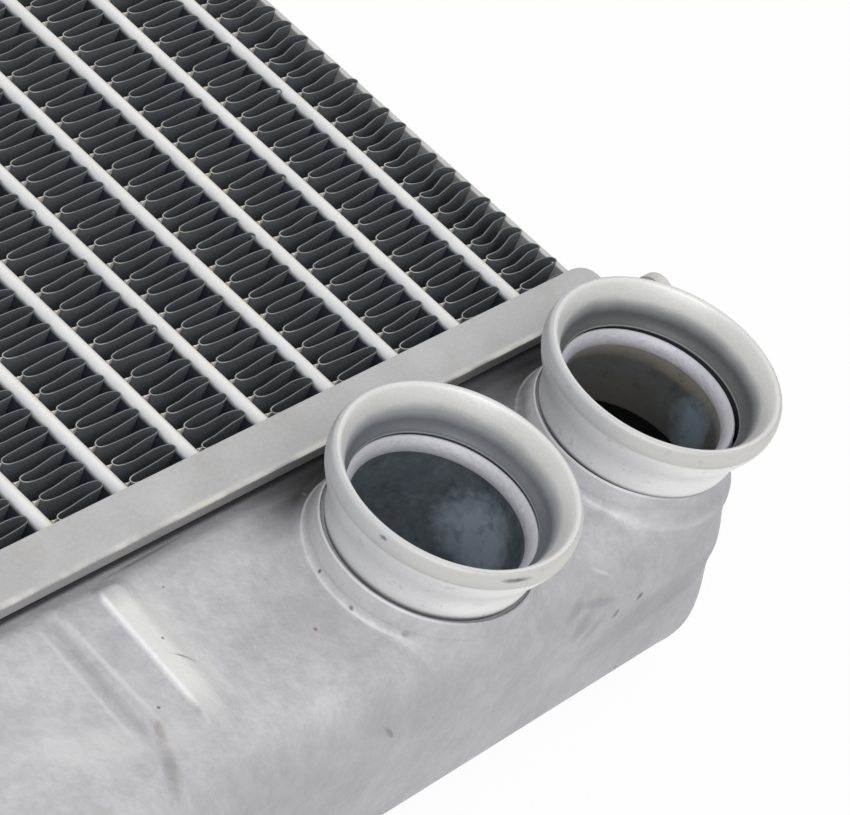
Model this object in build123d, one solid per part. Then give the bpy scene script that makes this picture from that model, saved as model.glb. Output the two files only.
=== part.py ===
from build123d import *
import math
import os

# A brazed aluminium heater core. Flat tubes with corrugated fins between them run from a
# front header plate to a rear one. A pressed tank closes each header, and the front tank
# carries two flared port collars on drawn necks. All sizes are in millimetres.
# X runs along the headers, Y from the front tank to the rear tank, Z up out of the core's face.
# The origin is the middle of the underside.

# Core
tube_count = 14
tube_pitch = 10.0
tube_width = 2.0
tube_wall = 0.35
core_depth = 26.0
core_length = 115.0
nose_facets = 3

# Fins
fin_pitch = 5.6
fin_sheet = 0.15
fin_recess = 0.4
fin_end_gap = 0.2
fin_side_gap = 0.03

# Side plates
plate_thickness = 0.8
plate_recess = 2.4
plate_bead_width = 5.0
plate_bead_depth = 0.6

# Header plates
header_wall = 1.5
header_rise = 2.2
header_overhang = 0.8
flange_width = 5.6
header_plan_radius = 5.0
header_face_radius = 4.0
tube_stand = 1.0
braze_gap = 0.05

# Locating ear on the front header's end wall
ear_setback = 7.6
ear_radius = 2.2
ear_rise = 4.2

# Tanks
tank_wall = 1.5
tank_seat_gap = 0.2
rear_reach = 20.0
front_plan_radius = 13.0
rear_plan_radius = 8.0
top_edge_radius = 7.0
bottom_edge_radius = 8.5
least_radius = 0.5

# Cross beads pressed into the front tank: one raised, one sunk
bead_start = 8.2
bead_length = 15.5
bead_fade = 2.0
bead_overrun = 1.5
raised_bead_x = -6.1
raised_bead_radius = 3.0
raised_bead_height = 0.8
sunk_bead_x = -13.6
sunk_bead_radius = 2.2
sunk_bead_depth = 0.8

# Ports: necks drawn out of the tank
port_pitch = 33.2
port_inset = 17.0
port_setback = 20.1
port_land = 1.4
neck_bore_radius = 9.4
neck_spigot_radius = 10.1
neck_foot_radius = 11.5
neck_shoulder_rise = 3.15
neck_spigot_rise = 6.4

# Port collars: turned rings on the necks' spigots, with a flared and rounded lip
collar_height = 8.45
collar_radius = 10.9
collar_waist_height = 4.3
collar_throat_height = 5.0
lip_radius = 12.85
lip_thickness = 1.55
lip_flat = 0.65

# Plates inside the front tank
divider_thickness = 1.0
divider_hole_radius = 8.5
inner_plate_gap = 0.1

# Derived places
fin_height = tube_pitch - tube_width
stack_half = (tube_count - 1) / 2 * tube_pitch + tube_width / 2 + fin_height
header_half = stack_half + plate_thickness + header_overhang
header_depth = core_depth + 2 * header_rise
tube_low = header_rise
tube_high = header_rise + core_depth
mid_height = header_depth / 2
front_reach = port_setback + neck_foot_radius + port_land
front_face_y = front_reach - (front_reach + core_length + rear_reach) / 2
rear_face_y = front_face_y + core_length
tank_half = header_half - header_wall - braze_gap
tank_low = header_wall + braze_gap
tank_high = header_depth - header_wall - braze_gap
tank_face_radius = header_face_radius - header_wall - braze_gap
tank_edge = header_wall + tube_stand + tank_seat_gap
far_port_x = header_half - port_inset
near_port_x = far_port_x - port_pitch
port_y = front_face_y - port_setback
shoulder_z = tank_high + neck_shoulder_rise
corner_run = max(stack_half - (header_half - header_plan_radius), 0)
plate_end_reach = header_plan_radius - math.sqrt(header_plan_radius**2 - corner_run**2) - braze_gap
tube_places = [(index - (tube_count - 1) / 2) * tube_pitch for index in range(tube_count)]
fin_places = [tube_places[0] - tube_pitch / 2 + tube_pitch * index for index in range(tube_count + 1)]

# Cylinders and cones stand on their lower end
STANDING = (Align.CENTER, Align.CENTER, Align.MIN)

parts = {}


# Solids drawn in a plane and carried straight along one axis
def along_y(sketch, y_low, y_high):
    plane = Plane(origin=(0, y_high, 0), x_dir=(1, 0, 0), z_dir=(0, -1, 0))
    return extrude(plane * sketch, y_high - y_low)


def along_z(sketch, z_low, z_high):
    return extrude(Plane(origin=(0, 0, z_low)) * sketch, z_high - z_low)


def along_x(sketch, x_low, x_high):
    plane = Plane(origin=(x_low, 0, 0), x_dir=(0, 1, 0), z_dir=(1, 0, 0))
    return extrude(plane * sketch, x_high - x_low)


# A flat section with a rounded nose above and below, each nose drawn with a few facets
def nosed_profile(x, depth, width):
    radius = width / 2
    turns = [math.pi * facet / nose_facets for facet in range(nose_facets + 1)]
    upper = [(radius * math.cos(turn), depth / 2 - radius + radius * math.sin(turn)) for turn in turns]
    lower = [(-across, -along) for across, along in upper]
    return Pos(x, mid_height) * make_face(Polyline(*upper, *lower, close=True))


# Flat tube: rounded noses and one open channel, its ends standing through both headers
def flat_tube(x):
    outline = nosed_profile(x, core_depth, tube_width)
    channel = Pos(x, mid_height) * Rectangle(tube_width - 2 * tube_wall, core_depth - tube_width)
    end = header_wall + tube_stand
    return along_y(outline - channel, front_face_y - end, rear_face_y + end)


# Corrugated fin: one sheet folded to and fro between two tubes
def corrugated_fin(x):
    run = core_length - 2 * fin_end_gap
    folds = 2 * int(run / fin_pitch)
    step = run / folds
    leg_slope = math.hypot(step, fin_height) / step
    half_sheet = fin_sheet * leg_slope / 2
    swing = fin_height / 2 - fin_side_gap - half_sheet
    start = front_face_y + fin_end_gap
    line = [(swing * (-1) ** fold, start + fold * step) for fold in range(folds + 1)]
    right_side = [(x + offset + half_sheet, y) for offset, y in line]
    left_side = [(x + offset - half_sheet, y) for offset, y in reversed(line)]
    outline = make_face(Polyline(*right_side, *left_side, close=True))
    return along_z(outline, tube_low + fin_recess, tube_high - fin_recess)


# Side plate: thin sheet along the last fin, stiffened by one bead pressed outwards
def side_plate(side):
    inner = side * stack_half
    outer = side * (stack_half + plate_thickness)
    step = side * plate_bead_depth
    low = tube_low + plate_recess
    high = tube_high - plate_recess
    bead_low = mid_height - plate_bead_width / 2
    bead_high = mid_height + plate_bead_width / 2
    profile = Polyline(
        (inner, low),
        (outer, low),
        (outer, bead_low - plate_bead_depth),
        (outer + step, bead_low),
        (outer + step, bead_high),
        (outer, bead_high + plate_bead_depth),
        (outer, high),
        (inner, high),
        (inner, bead_high + plate_bead_depth),
        (inner + step, bead_high),
        (inner + step, bead_low),
        (inner, bead_low - plate_bead_depth),
        close=True,
    )
    return along_y(make_face(profile), front_face_y - plate_end_reach, rear_face_y + plate_end_reach)


# A box seen from above with only its two outward corners rounded
def plan_profile(half, inner_y, outer_y, radius):
    outward = 1 if outer_y > inner_y else -1
    middle = (inner_y + outer_y) / 2
    sketch = Pos(0, middle) * Rectangle(2 * half, abs(outer_y - inner_y))
    corners = [vertex for vertex in sketch.vertices() if outward * (vertex.Y - middle) > 0]
    return fillet(corners, radius)


# A box with every corner rounded, in its end view and in its plan; outward is -1 or +1 in Y
def pan_block(half, depth, face_y, rim_y, face_radius, plan_radius):
    end_view = Pos(0, mid_height) * RectangleRounded(2 * half, depth, face_radius)
    block = along_y(end_view, min(face_y, rim_y), max(face_y, rim_y))
    return block & along_z(plan_profile(half, rim_y, face_y, plan_radius), 0, header_depth)


# Header plate: a shallow pan with a slot for each tube
def header_plate(face_y, outward):
    rim_y = face_y + outward * flange_width
    floor_y = face_y + outward * header_wall
    inner_depth = header_depth - 2 * header_wall
    inner_face_radius = header_face_radius - header_wall
    inner_plan_radius = header_plan_radius - header_wall
    pan = pan_block(header_half, header_depth, face_y, rim_y, header_face_radius, header_plan_radius)
    pan -= pan_block(
        header_half - header_wall, inner_depth, floor_y, rim_y, inner_face_radius, inner_plan_radius
    )
    slots = [nosed_profile(x, core_depth + 2 * braze_gap, tube_width + 2 * braze_gap) for x in tube_places]
    return pan - along_y(Sketch() + slots, min(face_y, floor_y), max(face_y, floor_y))


# Rounded ear that stands on the front header's end wall and locates the core in its housing
def locating_ear():
    centre_y = front_face_y - ear_setback
    rim_y = front_face_y - flange_width
    top = header_depth + ear_rise - ear_radius
    root = header_depth - header_face_radius - ear_radius
    upright = Pos(centre_y, (top + root) / 2) * Rectangle(2 * ear_radius, top - root)
    web = Pos((centre_y + rim_y) / 2, root) * Rectangle(abs(centre_y - rim_y) + 2 * ear_radius, 2 * ear_radius)
    outline = upright + web + Pos(centre_y, top) * Circle(ear_radius)
    return along_x(outline, header_half - header_wall, header_half)


# Tank body, taken in by inset on every side: its end view, plan and side view are crossed.
# The side view rounds the top edge and, with a larger radius, the bottom edge.
def tank_block(face_y, outward, reach, inset, plan_radius):
    half = tank_half - inset
    low = tank_low + inset
    high = tank_high - inset
    edge_y = face_y + outward * tank_edge
    end_y = face_y + outward * (reach - inset)
    middle_y = (edge_y + end_y) / 2
    face_radius = max(tank_face_radius - inset, least_radius)
    end_view = Pos(0, mid_height) * RectangleRounded(2 * half, high - low, face_radius)
    block = along_y(end_view, min(edge_y, end_y), max(edge_y, end_y))
    block &= along_z(plan_profile(half, edge_y, end_y, plan_radius - inset), low, high)
    side_view = Pos(middle_y, (low + high) / 2) * Rectangle(abs(end_y - edge_y), high - low)
    upper, lower = [
        [vertex for vertex in row if outward * (vertex.X - middle_y) > 0]
        for row in reversed(side_view.vertices().group_by(Axis.Y))
    ]
    side_view = fillet(upper, top_edge_radius - inset)
    lower = side_view.vertices().group_by(Axis.Y)[0].sort_by(Axis.X)[0 if outward < 0 else -1]
    side_view = fillet(lower, bottom_edge_radius - inset)
    return block & along_x(side_view, -half, half)


# The tank's rim nests inside the header, so its plan corners follow the header's inner ones
def nested_tank_block(face_y, outward, reach, plan_radius):
    nest_y = face_y + outward * (header_wall + braze_gap)
    end_y = face_y + outward * reach
    nest_radius = header_plan_radius - header_wall - braze_gap
    nest = along_z(plan_profile(tank_half, end_y, nest_y, nest_radius), tank_low, tank_high)
    return tank_block(face_y, outward, reach, 0, plan_radius) & nest


# A bar lying along Y with tapered ends, used to raise or sink a bead in the tank's top.
# The bead fades out over bead_fade, and the tapers run on past the surface by bead_overrun of that.
def bead_bar(x, z, radius, height):
    y_high = front_face_y - bead_start
    y_low = y_high - bead_length
    taper = Cone(radius, radius - bead_overrun * height, bead_overrun * bead_fade, align=STANDING)
    bar = Pos(x, y_low, z) * Rot(-90, 0, 0) * Cylinder(radius, bead_length, align=STANDING)
    return bar + Pos(x, y_high, z) * Rot(-90, 0, 0) * taper + Pos(x, y_low, z) * Rot(90, 0, 0) * taper


# Drawn neck: a foot up to the shoulder that the collar stands on, then a thin spigot
def port_neck(x):
    root = tank_high - tank_wall
    foot = Cylinder(neck_foot_radius, tank_wall + neck_shoulder_rise, align=STANDING)
    spigot = Cylinder(neck_spigot_radius, neck_spigot_rise, align=STANDING)
    return Pos(x, port_y, root) * foot + Pos(x, port_y, tank_high) * spigot


# The straight bore through the neck
def neck_bore(x):
    root = tank_high - tank_wall
    height = tank_wall + neck_spigot_rise
    return Pos(x, port_y, root) * Cylinder(neck_bore_radius, height, align=STANDING)


def front_tank():
    raised_z = tank_high + raised_bead_height - raised_bead_radius
    sunk_z = tank_high - sunk_bead_depth + sunk_bead_radius
    tank = nested_tank_block(front_face_y, -1, front_reach, front_plan_radius)
    tank += bead_bar(raised_bead_x, raised_z, raised_bead_radius, raised_bead_height)
    tank += [port_neck(x) for x in (near_port_x, far_port_x)]
    tank -= tank_block(front_face_y, -1, front_reach, tank_wall, front_plan_radius)
    tank -= bead_bar(sunk_bead_x, sunk_z, sunk_bead_radius, sunk_bead_depth)
    return tank - [neck_bore(x) for x in (near_port_x, far_port_x)]


def rear_tank():
    shell = nested_tank_block(rear_face_y, 1, rear_reach, rear_plan_radius)
    return shell - tank_block(rear_face_y, 1, rear_reach, tank_wall, rear_plan_radius)


# Collar: a turned ring that stands on the neck's shoulder round its spigot, flared to a lip
def port_collar(x):
    socket_radius = neck_spigot_radius + braze_gap
    section = Polyline(
        (socket_radius, 0),
        (collar_radius, 0),
        (collar_radius, collar_waist_height),
        (lip_radius, collar_height - lip_thickness),
        (lip_radius, collar_height),
        (lip_radius - lip_flat, collar_height),
        (socket_radius, collar_throat_height),
        close=True,
    )
    ring = revolve(Plane.XZ * make_face(section), Axis.Z)
    return Pos(x, port_y, shoulder_z + braze_gap) * ring


# Divider: a plate across the middle of the tank's depth, with a hole under the far port
def tank_divider():
    half = tank_half - tank_wall - inner_plate_gap
    edge_y = front_face_y - tank_edge
    end_y = front_face_y - front_reach + tank_wall + inner_plate_gap
    plate = plan_profile(half, edge_y, end_y, front_plan_radius - tank_wall)
    plate -= Pos(far_port_x, port_y) * Circle(divider_hole_radius)
    low = mid_height - divider_thickness / 2
    return along_z(plate, low, low + divider_thickness)


# Partition: a short upright wall between the two ports, standing on the divider
def tank_partition():
    x = (near_port_x + far_port_x) / 2
    low = mid_height + divider_thickness / 2
    high = tank_high - tank_wall - inner_plate_gap
    edge_y = front_face_y - tank_edge
    end_y = front_face_y - front_reach + tank_wall + inner_plate_gap
    profile = Pos((edge_y + end_y) / 2, (low + high) / 2) * Rectangle(edge_y - end_y, high - low)
    corner = profile.vertices().group_by(Axis.Y)[-1].sort_by(Axis.X)[0]
    profile = fillet(corner, top_edge_radius - tank_wall)
    return along_x(profile, x - divider_thickness / 2, x + divider_thickness / 2)


for index, x in enumerate(tube_places):
    parts[f"flat_tube_{index + 1:02d}"] = flat_tube(x)
for index, x in enumerate(fin_places):
    parts[f"fin_{index + 1:02d}"] = corrugated_fin(x)
parts["left_side_plate"] = side_plate(-1)
parts["right_side_plate"] = side_plate(1)
parts["front_header"] = header_plate(front_face_y, -1) + locating_ear()
parts["rear_header"] = header_plate(rear_face_y, 1)
parts["front_tank"] = front_tank()
parts["rear_tank"] = rear_tank()
parts["near_port_collar"] = port_collar(near_port_x)
parts["far_port_collar"] = port_collar(far_port_x)
parts["tank_divider"] = tank_divider()
parts["tank_partition"] = tank_partition()

os.makedirs("parts", exist_ok=True)
for name, solid in parts.items():
    export_step(solid, f"parts/{name}.step")
    print(name, round(solid.volume, 2), "mm3")
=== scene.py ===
import math

import bmesh
import bpy
import numpy as np
from mathutils import Matrix, Vector


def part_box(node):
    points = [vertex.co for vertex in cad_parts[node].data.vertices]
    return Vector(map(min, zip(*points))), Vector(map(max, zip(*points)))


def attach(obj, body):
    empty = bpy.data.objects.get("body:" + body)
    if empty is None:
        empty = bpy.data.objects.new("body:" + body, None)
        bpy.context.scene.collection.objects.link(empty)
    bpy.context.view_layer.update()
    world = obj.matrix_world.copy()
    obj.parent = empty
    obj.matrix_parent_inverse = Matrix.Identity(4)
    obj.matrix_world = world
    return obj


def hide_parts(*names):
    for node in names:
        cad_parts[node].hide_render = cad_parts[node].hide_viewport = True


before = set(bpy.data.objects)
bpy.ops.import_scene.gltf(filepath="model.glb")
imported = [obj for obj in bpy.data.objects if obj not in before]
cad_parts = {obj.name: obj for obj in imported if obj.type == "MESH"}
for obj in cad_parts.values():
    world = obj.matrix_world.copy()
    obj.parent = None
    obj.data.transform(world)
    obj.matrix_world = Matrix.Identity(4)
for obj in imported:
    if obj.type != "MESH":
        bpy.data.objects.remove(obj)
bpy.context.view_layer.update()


# Camera
# It stands over the front tank's left side and looks down across it, with the lens, place and
# turn at which the tubes, flange and ports fall where the photograph has them.
camera_place = (-0.222887, -0.179805, 0.267241)
camera_right = (0.6331644146, -0.6919803382, 0.3467939382)
camera_down = (-0.3250047886, -0.6443162514, -0.6922632849)
camera_ahead = (0.7024775523, 0.3256067870, -0.6328550456)
camera_lens = 159.17
camera_film = 36
camera_range = (0.01, 20)

camera_data = bpy.data.cameras.new("camera")
camera_data.lens = camera_lens
camera_data.sensor_width = camera_film
camera_data.sensor_fit = "HORIZONTAL"
camera_data.clip_start, camera_data.clip_end = camera_range
camera = bpy.data.objects.new("camera", camera_data)
bpy.context.collection.objects.link(camera)
turn = Matrix((camera_right, -Vector(camera_down), -Vector(camera_ahead))).transposed()
camera.matrix_world = Matrix.Translation(camera_place) @ turn.to_4x4()
bpy.context.scene.camera = camera


# Floor and light
# A white studio floor that the core lies on, a white surrounding, and one large soft lamp above
# and a little to the front left.
floor_half = 3.0
floor_tone = (0.86, 0.86, 0.86, 1)
floor_white = 0.95
room_heights = (-0.1, 0.9)
room_strength = (0.62, 1.12)
lamp_size = 0.9
lamp_power = 4.6
lamp_place = (-0.45, -0.5, 0.95)


def plug(tree, socket, value):
    """A number, a colour or another node's output put into a socket."""
    if isinstance(value, bpy.types.NodeSocket):
        tree.links.new(value, socket)
    else:
        socket.default_value = value


def shader_node(tree, kind, inputs):
    """A new node of a kind, with values or other nodes' outputs put into its inputs."""
    node = tree.nodes.new(kind)
    for label, value in inputs.items():
        plug(tree, node.inputs[label], value)
    return node


def combine(tree, operation, first, second):
    """A Math node on two values, each a socket or a number."""
    node = shader_node(tree, "ShaderNodeMath", {0: first, 1: second})
    node.operation = operation
    return node.outputs[0]


def remap(tree, value, low, high, new_low=0.0, new_high=1.0):
    """A value carried from the range low..high to new_low..new_high, held at its ends."""
    ends = {"From Min": low, "From Max": high, "To Min": new_low, "To Max": new_high}
    return shader_node(tree, "ShaderNodeMapRange", {"Value": value, **ends}).outputs["Result"]


def mix_shaders(tree, share, first, second, output_kind):
    """Two shaders mixed by a share into the output of a material or of the world."""
    mix = shader_node(tree, "ShaderNodeMixShader", {"Fac": share, 1: first.outputs[0], 2: second.outputs[0]})
    shader_node(tree, output_kind, {"Surface": mix.outputs[0]})


floor_mesh = bpy.data.meshes.new("floor")
floor_corners = [(-floor_half, -floor_half, 0), (floor_half, -floor_half, 0),
                 (floor_half, floor_half, 0), (-floor_half, floor_half, 0)]
floor_mesh.from_pydata(floor_corners, [], [(0, 1, 2, 3)])
floor = bpy.data.objects.new("floor", floor_mesh)
bpy.context.collection.objects.link(floor)

floor_finish = bpy.data.materials.new("white_floor")
floor_finish.use_nodes = True
tree = floor_finish.node_tree
tree.nodes.clear()
ray = tree.nodes.new("ShaderNodeLightPath").outputs
seen = combine(tree, "MAXIMUM", ray["Is Camera Ray"], ray["Is Glossy Ray"])
seen = combine(tree, "MAXIMUM", seen, ray["Is Transmission Ray"])
paper = shader_node(tree, "ShaderNodeBsdfDiffuse", {"Color": floor_tone})
white = shader_node(tree, "ShaderNodeEmission", {"Strength": 1.0})
mix_shaders(tree, combine(tree, "MULTIPLY", seen, floor_white), paper, white, "ShaderNodeOutputMaterial")
floor.data.materials.append(floor_finish)

world = bpy.data.worlds.new("room")
bpy.context.scene.world = world
world.use_nodes = True
tree = world.node_tree
tree.nodes.clear()
direction = tree.nodes.new("ShaderNodeTexCoord").outputs["Generated"]
height = shader_node(tree, "ShaderNodeSeparateXYZ", {0: direction}).outputs["Z"]
glow = remap(tree, height, *room_heights, *room_strength)
room = shader_node(tree, "ShaderNodeBackground", {"Strength": glow})
backdrop = shader_node(tree, "ShaderNodeBackground", {"Strength": 1.0})
seen = tree.nodes.new("ShaderNodeLightPath").outputs["Is Camera Ray"]
mix_shaders(tree, seen, room, backdrop, "ShaderNodeOutputWorld")

lamp_data = bpy.data.lights.new("soft_lamp", "AREA")
lamp_data.size = lamp_size
lamp_data.energy = lamp_power
lamp = bpy.data.objects.new("soft_lamp", lamp_data)
lamp.location = lamp_place
lamp.rotation_mode = "QUATERNION"
lamp.rotation_quaternion = (-Vector(lamp_place)).to_track_quat("-Z", "Y")
bpy.context.collection.objects.link(lamp)

bpy.context.scene.view_settings.view_transform = "Standard"


# Flat tubes
# Fourteen flat aluminium tubes with round noses, rolled thin and brazed through both headers.
# Bright on the nose, with a little dull haze and flux where the fins meet them, painted shade on the flanks
# between the fins and a bluer painted shade on the left of each nose.
tube_nodes = sorted(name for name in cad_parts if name.startswith("flat_tube"))
tube_wall = 0.35
tube_wave = 0.05
tube_stations = 60
nose_rise = 0.42
tube_pitch = 10.0
flank_shade_tone = (62, 68, 80)
flux_tone = (206, 199, 184)
left_shade_tone = (201, 203, 209)
right_tone = (236, 230, 217)
speck_tone = (70, 66, 62)
speck_scale = 420
weld_distance = 1e-6


def grid_quads(rows, columns, closed_rows=False, closed_columns=False):
    """Quads of a grid of points stored row by row: point (r, c) with its neighbours in r + 1 and c + 1,
    which wrap round where the grid is closed."""
    row, column = np.meshgrid(np.arange(rows if closed_rows else rows - 1),
                              np.arange(columns if closed_columns else columns - 1), indexing="ij")
    next_row, next_column = (row + 1) % rows, (column + 1) % columns
    corners = (row * columns + column, row * columns + next_column,
               next_row * columns + next_column, next_row * columns + column)
    return np.stack(corners, -1).reshape(-1, 4)


def add_piece(name, surfaces, stands_for, finishes, crease=40.0):
    """One mesh object in metres from surfaces given in millimetres, each (points, quads, finish number)."""
    starts = np.cumsum([0] + [len(points) for points, _, _ in surfaces])
    points = np.concatenate([points for points, _, _ in surfaces]) * 0.001
    quads = np.concatenate([quads + start for (_, quads, _), start in zip(surfaces, starts)])
    numbers = np.concatenate([np.full(len(quads), number) for _, quads, number in surfaces])
    mesh = bpy.data.meshes.new(name)
    mesh.from_pydata(points.tolist(), [], quads.tolist())
    mesh.polygons.foreach_set("material_index", numbers.astype(np.int32))
    mesh.polygons.foreach_set("use_smooth", np.ones(len(quads), bool))
    for finish in finishes:
        mesh.materials.append(finish)
    solid = bmesh.new()
    solid.from_mesh(mesh)
    bmesh.ops.remove_doubles(solid, verts=solid.verts, dist=weld_distance)
    bmesh.ops.recalc_face_normals(solid, faces=solid.faces)
    solid.to_mesh(mesh)
    solid.free()
    mesh.set_sharp_from_angle(angle=math.radians(crease))
    piece = bpy.data.objects.new(name, mesh)
    bpy.context.collection.objects.link(piece)
    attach(piece, "root")
    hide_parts(*stands_for)
    return piece


def node_span(node):
    """Lowest and highest corner of a CAD node in millimetres."""
    low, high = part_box(node)
    return np.array(low) * 1000, np.array(high) * 1000


def shade_group(name, inputs, outputs):
    """An empty node group with named number inputs of given values, and named number outputs."""
    group = bpy.data.node_groups.new(name, "ShaderNodeTree")
    for label, value in inputs.items():
        socket = group.interface.new_socket(label, in_out="INPUT", socket_type="NodeSocketFloat")
        socket.default_value = value
    for label in outputs:
        group.interface.new_socket(label, in_out="OUTPUT", socket_type="NodeSocketFloat")
    return group, group.nodes.new("NodeGroupInput"), group.nodes.new("NodeGroupOutput")


def noise(tree, scale, detail, place, roughness=0.5):
    """A noise texture read at a place socket; its scale is per metre."""
    inputs = {"Vector": place, "Scale": scale, "Detail": detail, "Roughness": roughness}
    return shader_node(tree, "ShaderNodeTexNoise", inputs).outputs["Fac"]


def ragged(tree, value, place, scale, detail, amount):
    """A value raised unevenly by noise of up to an amount."""
    return combine(tree, "ADD", value, combine(tree, "MULTIPLY", noise(tree, scale, detail, place), amount))


def blend_colour(tree, share, first, second):
    """A Mix node between two colours."""
    node = tree.nodes.new("ShaderNodeMix")
    node.data_type = "RGBA"
    for label, value in (("Factor", share), (6, first), (7, second)):
        plug(tree, node.inputs[label], value)
    return node.outputs[2]


def linear(tone):
    """A linear colour from screen tones of 0 to 255."""
    share = np.array(tone, float) / 255
    curve = np.where(share <= 0.04045, share / 12.92, ((share + 0.055) / 1.055) ** 2.4)
    return *curve.tolist(), 1.0


def product(tree, *masks):
    """Masks multiplied one after another. Each is a socket, a number, or a ramp (value, low, high) or
    (value, low, high, new low, new high), which is remapped first."""
    values = [remap(tree, *mask) if isinstance(mask, tuple) else mask for mask in masks]
    share = values[0]
    for value in values[1:]:
        share = combine(tree, "MULTIPLY", share, value)
    return share


def coat(tree, colour, tone, *masks):
    """A screen tone laid over a colour by the product of masks."""
    return blend_colour(tree, product(tree, *masks), colour, linear(tone))


def coats(tree, colour, *rows):
    """Tones laid over a colour one after another, each row a tone and its masks."""
    for row in rows:
        colour = coat(tree, colour, *row)
    return colour


def object_place(tree):
    """The place on the piece, as a vector and as x, y and z, all in metres."""
    place = tree.nodes.new("ShaderNodeTexCoord").outputs["Object"]
    return place, *shader_node(tree, "ShaderNodeSeparateXYZ", {0: place}).outputs


# Shared effect: metal patches, fine grain and specks, as masks and a height
metal_group, group_in, group_out = shade_group(
    "metal_surface", {"Patch Scale": 60.0, "Grain Scale": 2500.0}, ("Patch", "Grain", "Specks"))
where = metal_group.nodes.new("ShaderNodeTexCoord").outputs["Object"]
patches = noise(metal_group, group_in.outputs["Patch Scale"], 4, where)
grains = noise(metal_group, group_in.outputs["Grain Scale"], 3, where)
dots = shader_node(metal_group, "ShaderNodeTexVoronoi", {"Vector": where, "Scale": speck_scale})
dot_spots = (dots.outputs["Distance"], 0.05, 0.12, 1.0, 0.0)
dot_picks = (noise(metal_group, 90, 2, where), 0.60, 0.66)
plug(metal_group, group_out.inputs["Patch"], remap(metal_group, patches, 0.3, 0.7))
plug(metal_group, group_out.inputs["Grain"], remap(metal_group, grains, 0.25, 0.75))
plug(metal_group, group_out.inputs["Specks"], product(metal_group, dot_spots, dot_picks))


def metal_finish(name, light, dark, patch, rough, specks, grain=2500.0, metallic=0.3,
                 bump=0.00002, paint=None):
    """Aluminium: two tones mixed by soft patches and fine grain, a few dark specks, and a grain bump.
    paint(tree, colour) may lay further marks over the colour before it reaches the shader."""
    finish = bpy.data.materials.new(name)
    finish.use_nodes = True
    tree = finish.node_tree
    surface = tree.nodes.new("ShaderNodeGroup")
    surface.node_tree = metal_group
    surface.inputs["Patch Scale"].default_value = patch
    surface.inputs["Grain Scale"].default_value = grain
    tone = combine(tree, "ADD", product(tree, surface.outputs["Patch"], 0.6),
                   product(tree, surface.outputs["Grain"], 0.4))
    colour = blend_colour(tree, tone, linear(dark), linear(light))
    colour = coat(tree, colour, speck_tone, surface.outputs["Specks"], specks)
    if paint:
        colour = paint(tree, colour)
    raised = shader_node(tree, "ShaderNodeBump", {"Distance": bump, "Height": surface.outputs["Grain"]})
    for label, value in (("Base Color", colour), ("Roughness", remap(tree, tone, 0, 1, rough[1], rough[0])),
                         ("Metallic", metallic), ("Normal", raised.outputs["Normal"])):
        plug(tree, tree.nodes["Principled BSDF"].inputs[label], value)
    return finish


def nose_section(width, depth, arc_points=14, side_points=4):
    """Points round a flat section with half-round noses: arcs of radius width / 2 and flat sides."""
    radius = width / 2
    turn = np.linspace(0, np.pi, arc_points)
    side = np.linspace(1, -1, side_points + 2)[1:-1] * (depth / 2 - radius)
    right_side = np.stack([np.full(side_points, radius), -side], 1)
    arc = np.stack([radius * np.cos(turn), depth / 2 - radius + radius * np.sin(turn)], 1)
    half = np.concatenate([arc, np.stack([np.full(side_points, -radius), side], 1)])
    return np.concatenate([half, -arc, right_side])


def flat_tube(node, seed):
    """The outer section carried from end to end and the channel's carried back, which closes on itself.
    The section's middle sways by a slow sine along the tube."""
    low, high = node_span(node)
    middle, depth, width = (low + high) / 2, high[2] - low[2], high[0] - low[0]
    middle, depth = middle + (0, 0, nose_rise / 2), depth + nose_rise
    outer = nose_section(width, depth)
    channel = nose_section(width - 2 * tube_wall, depth - 2 * tube_wall)
    along = np.linspace(low[1], high[1], tube_stations)
    section = np.repeat(np.stack([outer, channel]), tube_stations, 0)
    station = np.concatenate([along, along[::-1]])
    phase = np.random.default_rng(seed).uniform(0, 2 * np.pi, 2)
    sway = tube_wave * (np.sin(station / 19 + phase[0]) + 0.6 * np.sin(station / 7 + phase[1]))
    rise = 0.6 * tube_wave * np.sin(station / 11 + phase[1]) - 0.6 * tube_wave
    x = middle[0] + section[..., 0] + sway[:, None]
    z = middle[2] + section[..., 1] + rise[:, None]
    y = np.broadcast_to(station[:, None], x.shape)
    return np.stack([x, y, z], -1).reshape(-1, 3), grid_quads(len(station), len(outer), True, True), 0


def tube_marks(tree, colour):
    """Bare metal on the noses, bluer painted shade on their left and creamier on their right, patchy flux
    along their feet, and dark painted shade on the flanks between the fins."""
    place, x, _, z = object_place(tree)
    reach = combine(tree, "ABSOLUTE", combine(tree, "SUBTRACT", z, tube_middle), 0.0)
    reach = ragged(tree, reach, place, 700, 3, 0.00025)
    from_middle = combine(tree, "FLOORED_MODULO", x, tube_pitch * 0.001)
    from_middle = combine(tree, "SUBTRACT", from_middle, tube_pitch * 0.0005)
    side_patches = remap(tree, noise(tree, 320, 3, place), 0.35, 0.65, 0.55, 1.0)
    flux = (noise(tree, 260, 3, place), 0.42, 0.62, 0.1, 0.8)
    return coats(
        tree, colour,
        # Painted shade, bluer, on the left of each nose; the right is creamier
        (left_shade_tone, (from_middle, -0.00005, -0.0008), side_patches),
        (right_tone, (from_middle, 0.0001, 0.0007), side_patches),
        (flux_tone, (reach, tube_nose - 0.0004, tube_nose - 0.0006), flux),
        # Painted shade on the flanks between the fins
        (flank_shade_tone, (reach, tube_nose - 0.00035, tube_nose - 0.0008)))


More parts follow.
